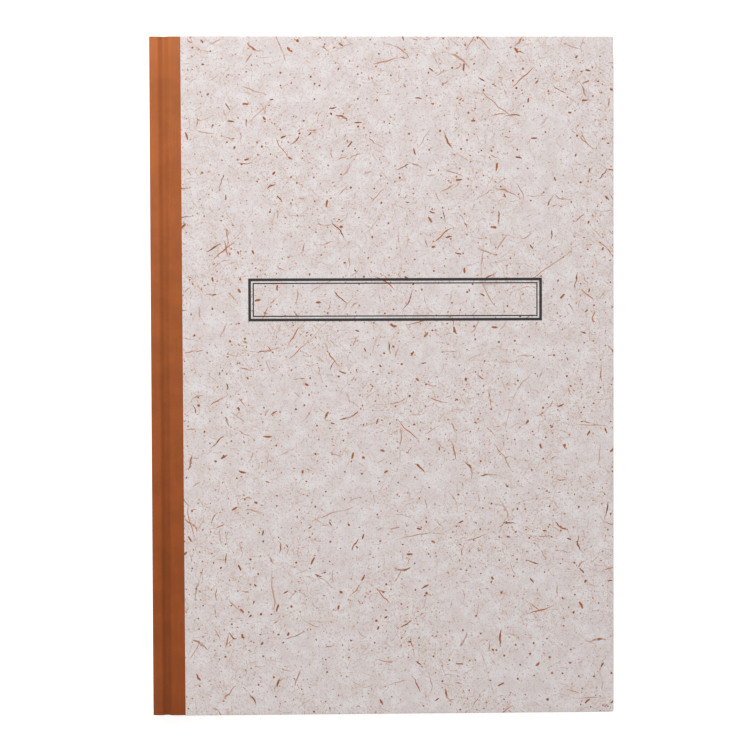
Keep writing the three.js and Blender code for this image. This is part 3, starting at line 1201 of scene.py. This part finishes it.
def buildSheetTree():
    tree, given, out = newShapeTree("sewnSheets", {
        "Sheets": "Int",
        "Stations": "Int",
        "Leaf Share": "Float",
        "Fold": "Float",
        "Width": "Float",
        "Length": "Float",
        "Middle": "Float",
        "Pitch": "Float",
        "Thickness": "Float",
        "Near": "Float",
        "Near Share": "Float",
        "Jitter": "Float",
        "Seed": "Int",
        "Material": "Material",
    })

    # every sheet starts as a flat grid, one above the other
    grid = added(tree, "GeometryNodeMeshGrid", {
        "Size X": 1.0,
        "Size Y": given["Length"],
        "Vertices X": given["Stations"],
        "Vertices Y": 2,
    }).outputs["Mesh"]
    line = added(tree, "GeometryNodeMeshLine", {"Count": given["Sheets"], "Offset": (0, 0, 1)}).outputs[0]
    copies = added(tree, "GeometryNodeInstanceOnPoints", {"Points": line, "Instance": grid}).outputs[0]
    real = added(tree, "GeometryNodeRealizeInstances", {0: copies}).outputs[0]

    # each is a leaf above, a half turn at the fold and a leaf below
    x, y, z = parted(tree, added(tree, "GeometryNodeInputPosition", {}).outputs[0])
    share = plus(tree, x, 0.5)
    leaf = given["Leaf Share"]
    topRun = divided(tree, minus(tree, leaf, share), leaf, clamp=True)
    rest = minus(tree, 1.0, leaf)
    lowRun = divided(tree, minus(tree, share, rest), leaf, clamp=True)
    arcSpan = minus(tree, rest, leaf)
    turn = divided(tree, minus(tree, share, leaf), arcSpan, clamp=True)
    turn = times(tree, turn, math.pi)
    fromInside = minus(tree, given["Sheets"], plus(tree, z, 0.5))
    radius = times(tree, fromInside, given["Pitch"])
    chance = added(tree, "FunctionNodeRandomValue", {
        2: times(tree, given["Jitter"], -1.0),
        3: 0.0,
        "ID": maths(tree, "MULTIPLY_ADD", z, 2.0, maths(tree, "GREATER_THAN", share, 0.5)),
        "Seed": given["Seed"],
    })
    nearPart = divided(tree, given["Near"], given["Width"])
    run = stationRun(tree, maths(tree, "MAXIMUM", topRun, lowRun), nearPart, given["Near Share"])
    foldDepth = times(tree, given["Sheets"], given["Pitch"])
    reach = plus(tree, given["Width"], chance.outputs[1])
    reach = minus(tree, reach, foldDepth)
    placeX = plus(tree, foldDepth, given["Fold"])
    placeX = minus(tree, placeX, times(tree, radius, maths(tree, "SINE", turn)))
    placeX = maths(tree, "MULTIPLY_ADD", run, reach, placeX)
    placeZ = maths(tree, "MULTIPLY_ADD", radius, maths(tree, "COSINE", turn), given["Middle"])
    bent = added(tree, "GeometryNodeSetPosition", {
        "Geometry": real,
        "Position": joined(tree, placeX, y, placeZ),
    }).outputs[0]

    # then the paper gets its thickness and is closed on both sides
    thick = added(tree, "GeometryNodeExtrudeMesh", {
        "Mesh": bent,
        "Offset Scale": given["Thickness"],
        "Individual": False,
    })
    under = added(tree, "GeometryNodeFlipFaces", {0: bent})
    both = added(tree, "GeometryNodeJoinGeometry", {0: thick.outputs[0]})
    tree.links.new(under.outputs[0], both.inputs[0])
    inputs = {"Geometry": both.outputs[0], "Distance": touching}
    welded = added(tree, "GeometryNodeMergeByDistance", inputs).outputs[0]
    dressed(tree, welded, given, out)
    return tree


sheetTree = buildSheetTree()


# The CAD nodes that stand for a section, the leaves first
def sectionNodes(number):
    parts = [f"section_{number}_leaves", f"section_{number}_fold"]
    return parts if parts[0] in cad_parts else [f"section_{number}"]


def sewnSection(number):
    names = sectionNodes(number)
    low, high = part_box(names[0])
    name = f"section{number}Sheets"
    piece = newObject(name, bpy.data.meshes.new(name))
    stations = 2 * section["stations"] + section["arc"]
    shaped(piece, sheetTree, {
        "Sheets": section["sheets"],
        "Stations": stations + 1,
        "Leaf Share": section["stations"] / stations,
        "Fold": leafLow.x,
        "Width": leafHigh.x - leafLow.x,
        "Length": 2 * leafHalf,
        "Middle": (low.z + high.z) / 2,
        "Pitch": (high.z - low.z) / (2 * section["sheets"]),
        "Thickness": section["thickness"],
        "Near": section["near"],
        "Near Share": section["nearShare"],
        "Jitter": section["jitter"],
        "Seed": number,
        "Material": ruledPaper,
    })
    if len(names) > 1:
        bendOver(piece)
    else:
        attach(piece, "text_block")
    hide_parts(*names)


sectionNumbers = range(1, 7)
for number in sectionNumbers:
    sewnSection(number)
print("sections sewn")


# Sewing thread: in and out along each fold, then on to the next section

sewing = {
    "stitches": 5,
    "thickness": 0.34 * mm,
    "bend": 0.2 * mm,
    "bendSteps": 3,
    "sides": 8,
    "smoothUnder": 60,
}


def buildThreadTree():
    tree, given, out = newShapeTree("sewnThread", {
        "Thickness": "Float",
        "Bend": "Float",
        "Bend Steps": "Int",
        "Sides": "Int",
        "Material": "Material",
    })
    path = added(tree, "GeometryNodeMeshToCurve", {"Mesh": given["Geometry"]})
    soft = added(tree, "GeometryNodeFilletCurve", {
        "Curve": path.outputs[0],
        "Count": given["Bend Steps"],
        "Radius": given["Bend"],
        "Limit Radius": True,
    }, mode="POLY")
    ring = added(tree, "GeometryNodeCurvePrimitiveCircle", {
        "Resolution": given["Sides"],
        "Radius": times(tree, given["Thickness"], 0.5),
    })
    strand = added(tree, "GeometryNodeCurveToMesh", {
        "Curve": soft.outputs[0],
        "Profile Curve": ring.outputs[0],
        "Fill Caps": True,
    })
    real = added(tree, "GeometryNodeRealizeInstances", {0: strand.outputs[0]}).outputs[0]
    dressed(tree, real, given, out)
    return tree


def sewingThread():
    low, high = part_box("sewing_thread")
    outside = low.x + sewing["thickness"] / 2
    inside = high.x - sewing["thickness"] / 2
    reach = high.y - sewing["thickness"] / 2
    holes = [reach * (2 * stitch / sewing["stitches"] - 1) for stitch in range(sewing["stitches"] + 1)]
    points = []
    for number in sectionNumbers:
        sectionLow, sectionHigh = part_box(sectionNodes(number)[0])
        middle = (sectionLow.z + sectionHigh.z) / 2
        row = []
        for place, y in enumerate(holes):
            ends = (outside, inside) if place % 2 == 0 else (inside, outside)
            row += [(ends[0], y, middle), (ends[1], y, middle)]
        points += row if number % 2 else row[::-1]
    path = bpy.data.meshes.new("sewingPath")
    path.from_pydata(points, [(i, i + 1) for i in range(len(points) - 1)], [])
    piece = newObject("sewingThread", path)
    shaped(piece, buildThreadTree(), {
        "Thickness": sewing["thickness"],
        "Bend": sewing["bend"],
        "Bend Steps": sewing["bendSteps"],
        "Sides": sewing["sides"],
        "Material": threadTwist,
    })
    smoothed(piece, sewing["smoothUnder"])
    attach(piece, "text_block")
    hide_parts("sewing_thread")


sewingThread()
print("thread sewn")


# Floor, light and camera

setting = {
    "floorSize": 14.0,
    "floorColour": (236, 236, 236),
    "floorShine": (0.9, 0.0),
    "floorGlow": 0.64,
    "world": 0.5,
    "keyPower": 9.0,
    "keyPlace": (-0.35, 0.75, 0.9),
    "keySize": 0.7,
    "cameraPlace": (-0.0294, 0.0262, 0.9002),
    "cameraTurn": (-1.64, -1.677, -0.199),
    "lens": 97.635,
    "sensorWidth": 36,
}
white = (1, 1, 1, 1)


# One for rays that see a surface straight, in a mirror or through glass, else nought
def seenDirectly(tree):
    paths = tree.nodes.new("ShaderNodeLightPath").outputs
    indirect = maths(tree, "MAXIMUM", paths["Is Glossy Ray"], paths["Is Transmission Ray"])
    return maths(tree, "MAXIMUM", paths["Is Camera Ray"], indirect)


def buildFloor():
    half = setting["floorSize"] / 2
    corners = [(-half, -half, 0), (half, -half, 0), (half, half, 0), (-half, half, 0)]
    floor = meshFrom("floor", corners, [(0, 1, 2, 3)])
    material, tree, shader = newMaterial("floor", setting["floorShine"])
    shader.inputs["Base Color"].default_value = linear(*setting["floorColour"])
    shader.inputs["Emission Color"].default_value = white
    glow = times(tree, seenDirectly(tree), setting["floorGlow"])
    tree.links.new(glow, shader.inputs["Emission Strength"])
    floor.data.materials.append(material)


def buildWorld():
    world = bpy.data.worlds.new("studio")
    bpy.context.scene.world = world
    world.use_nodes = True
    tree = world.node_tree
    background = tree.nodes["Background"]
    background.inputs["Color"].default_value = white
    seen = seenDirectly(tree)
    strength = maths(tree, "MULTIPLY_ADD", seen, 1 - setting["world"], setting["world"])
    tree.links.new(strength, background.inputs["Strength"])


def buildLamp(name, place, power, size):
    lamp = bpy.data.lights.new(name, "AREA")
    lamp.energy = power
    lamp.shape = "DISK"
    lamp.size = size
    holder = newObject(name, lamp)
    holder.location = place
    holder.rotation_euler = (-Vector(place)).to_track_quat("-Z", "Y").to_euler()
    return holder


def buildCamera():
    camera = bpy.data.cameras.new("camera")
    camera.lens = setting["lens"]
    camera.sensor_width = setting["sensorWidth"]
    holder = newObject("camera", camera)
    holder.location = setting["cameraPlace"]
    holder.rotation_euler = [math.radians(angle) for angle in setting["cameraTurn"]]
    bpy.context.scene.camera = holder


buildFloor()
buildWorld()
buildLamp("keyLamp", setting["keyPlace"], setting["keyPower"], setting["keySize"])
buildCamera()
bpy.context.scene.view_settings.view_transform = "Standard"
print("studio set")
